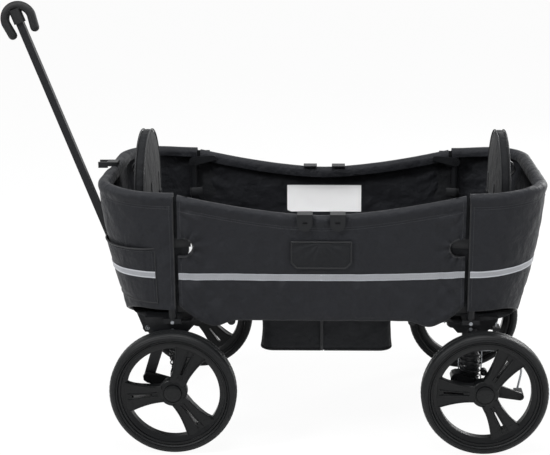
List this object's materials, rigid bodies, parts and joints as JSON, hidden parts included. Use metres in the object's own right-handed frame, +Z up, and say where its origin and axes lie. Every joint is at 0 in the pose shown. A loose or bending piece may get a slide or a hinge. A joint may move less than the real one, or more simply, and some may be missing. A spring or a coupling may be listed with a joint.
{
  "type": "folding wagon",
  "caption": "Folding child wagon with facing padded seats, fabric sides, footwell, suspended wheels, braked rear casters and a tilting pull handle.",
  "frame": {"origin": "middle of the bounding box's footprint, on the ground under the tyres", "axes": "+X towards the wagon's rear, -X towards the pull handle at the front, +Y to the wagon's right, +Z up"},
  "size_m": [1.2694, 0.6, 1.0026],
  "materials": {
    "tube": "satin",
    "plastic": "matte",
    "tyre": "matte",
    "rubber": "matte",
    "fabric": "matte",
    "steel": "satin"
  },
  "bodies": {
    "rear_frame": {"rear_rim_tube": "tube", "rear_base_frame": "tube", "rear_end_wrap": "fabric", "rear_seat": "fabric", "rear_backrest": "fabric", "rear_harness": "fabric", "rear_post_left": "tube", "rear_post_right": "tube", "rear_foot_left": "plastic", "rear_foot_right": "plastic", "side_panel_left": "fabric", "side_panel_right": "fabric", "footwell": "fabric", "side_pouch": "fabric"},
    "rear_rails": {"rear_top_rail_left": "tube", "rear_top_rail_right": "tube"},
    "front_rails": {"front_top_rail_left": "tube", "front_top_rail_right": "tube"},
    "front_frame": {"front_rim_tube": "tube", "front_base_frame": "tube", "front_end_wrap": "fabric", "front_seat": "fabric", "front_backrest": "fabric", "front_harness": "fabric", "front_post_left": "tube", "front_post_right": "tube", "front_foot_left": "plastic", "front_foot_right": "plastic", "front_cross_tube": "tube", "handle_bracket": "steel", "storage_clip": "plastic", "front_pocket": "fabric", "front_spring_left": "rubber", "front_spring_right": "rubber"},
    "rear_floor": {"rear_floor_frame": "tube", "rear_floor_cushion": "fabric"},
    "front_floor": {"front_floor_frame": "tube", "front_floor_cushion": "fabric"},
    "pull_handle": {"handle_stem": "tube", "handle_sleeve": "plastic", "handle_grip": "rubber"},
    "caster_left": {"caster_head_left": "plastic", "brake_cable_left": "rubber"},
    "front_arm_left": {"front_arm_left": "plastic"},
    "front_wheel_left": {"front_tyre_left": "tyre", "front_wheel_left": "plastic"},
    "rear_arm_left": {"rear_arm_left": "plastic"},
    "rear_wheel_left": {"rear_tyre_left": "tyre", "rear_wheel_left": "plastic"},
    "brake_left": {"brake_lever_left": "plastic"},
    "caster_right": {"caster_head_right": "plastic", "brake_cable_right": "rubber"},
    "front_arm_right": {"front_arm_right": "plastic"},
    "front_wheel_right": {"front_tyre_right": "tyre", "front_wheel_right": "plastic"},
    "rear_arm_right": {"rear_arm_right": "plastic"},
    "rear_wheel_right": {"rear_tyre_right": "tyre", "rear_wheel_right": "plastic"},
    "brake_right": {"brake_lever_right": "plastic"}
  },
  "joints": [
    {"name": "fold", "type": "hinge", "parent": "rear_frame", "child": "rear_rails", "pos_m": [0.45572, 0, 0.572], "axis": [0, 1, 0], "range_deg": [0, 55], "deforming": ["side_panel_left", "side_panel_right", "footwell", "side_pouch"]},
    {"name": "centre_hinge", "type": "hinge", "parent": "rear_rails", "child": "front_rails", "pos_m": [0.11772, 0, 0.542], "axis": [0, 1, 0], "range_deg": [-110, 0]},
    {"name": "front_post_hinge", "type": "hinge", "parent": "front_rails", "child": "front_frame", "pos_m": [-0.22028, 0, 0.572], "axis": [0, 1, 0], "range_deg": [0, 55]},
    {"name": "rear_floor_hinge", "type": "hinge", "parent": "rear_frame", "child": "rear_floor", "pos_m": [0.45572, 0, 0.331], "axis": [0, 1, 0], "range_deg": [0, 55]},
    {"name": "front_floor_hinge", "type": "hinge", "parent": "front_frame", "child": "front_floor", "pos_m": [-0.22028, 0, 0.331], "axis": [0, -1, 0], "range_deg": [0, 55]},
    {"name": "handle_tilt", "type": "hinge", "parent": "front_frame", "child": "pull_handle", "pos_m": [-0.31428, 0, 0.208], "axis": [0, -1, 0], "range_deg": [-6.5, 65]},
    {"name": "caster_swivel_left", "type": "hinge", "parent": "rear_frame", "child": "caster_left", "pos_m": [0.46172, -0.205, 0.236], "axis": [0, 0, 1], "continuous": true},
    {"name": "front_suspension_left", "type": "hinge", "parent": "front_frame", "child": "front_arm_left", "pos_m": [-0.28228, -0.2335, 0.163], "axis": [0, -1, 0], "range_deg": [0, 5], "stiffness_Nm_per_rad": 40, "springref_deg": -9.17, "deforming": ["front_spring_left"]},
    {"name": "front_wheel_spin_left", "type": "hinge", "parent": "front_arm_left", "child": "front_wheel_left", "pos_m": [-0.22028, -0.276, 0.145], "axis": [0, 1, 0], "continuous": true},
    {"name": "rear_suspension_left", "type": "hinge", "parent": "caster_left", "child": "rear_arm_left", "pos_m": [0.42772, -0.2335, 0.163], "axis": [0, -1, 0], "range_deg": [0, 5], "stiffness_Nm_per_rad": 40, "springref_deg": -9.17, "deforming": ["brake_cable_left"]},
    {"name": "rear_wheel_spin_left", "type": "hinge", "parent": "rear_arm_left", "child": "rear_wheel_left", "pos_m": [0.48972, -0.276, 0.145], "axis": [0, 1, 0], "continuous": true},
    {"name": "brake_press_left", "type": "hinge", "parent": "rear_arm_left", "child": "brake_left", "pos_m": [0.48972, -0.242, 0.145], "axis": [0, 1, 0], "range_deg": [0, 20], "deforming": ["brake_cable_left"]},
    {"name": "caster_swivel_right", "type": "hinge", "parent": "rear_frame", "child": "caster_right", "pos_m": [0.46172, 0.205, 0.236], "axis": [0, 0, 1], "continuous": true},
    {"name": "front_suspension_right", "type": "hinge", "parent": "front_frame", "child": "front_arm_right", "pos_m": [-0.28228, 0.2335, 0.163], "axis": [0, -1, 0], "range_deg": [0, 5], "stiffness_Nm_per_rad": 40, "springref_deg": -9.17, "deforming": ["front_spring_right"]},
    {"name": "front_wheel_spin_right", "type": "hinge", "parent": "front_arm_right", "child": "front_wheel_right", "pos_m": [-0.22028, 0.276, 0.145], "axis": [0, 1, 0], "continuous": true},
    {"name": "rear_suspension_right", "type": "hinge", "parent": "caster_right", "child": "rear_arm_right", "pos_m": [0.42772, 0.2335, 0.163], "axis": [0, -1, 0], "range_deg": [0, 5], "stiffness_Nm_per_rad": 40, "springref_deg": -9.17, "deforming": ["brake_cable_right"]},
    {"name": "rear_wheel_spin_right", "type": "hinge", "parent": "rear_arm_right", "child": "rear_wheel_right", "pos_m": [0.48972, 0.276, 0.145], "axis": [0, 1, 0], "continuous": true},
    {"name": "brake_press_right", "type": "hinge", "parent": "rear_arm_right", "child": "brake_right", "pos_m": [0.48972, 0.242, 0.145], "axis": [0, 1, 0], "range_deg": [0, 20], "deforming": ["brake_cable_right"]}
  ],
  "couplings": [
    {"joint": "centre_hinge", "follows": "fold", "ratio": -2},
    {"joint": "front_post_hinge", "follows": "fold", "ratio": 1},
    {"joint": "rear_floor_hinge", "follows": "fold", "ratio": 1},
    {"joint": "front_floor_hinge", "follows": "fold", "ratio": 1}
  ]
}
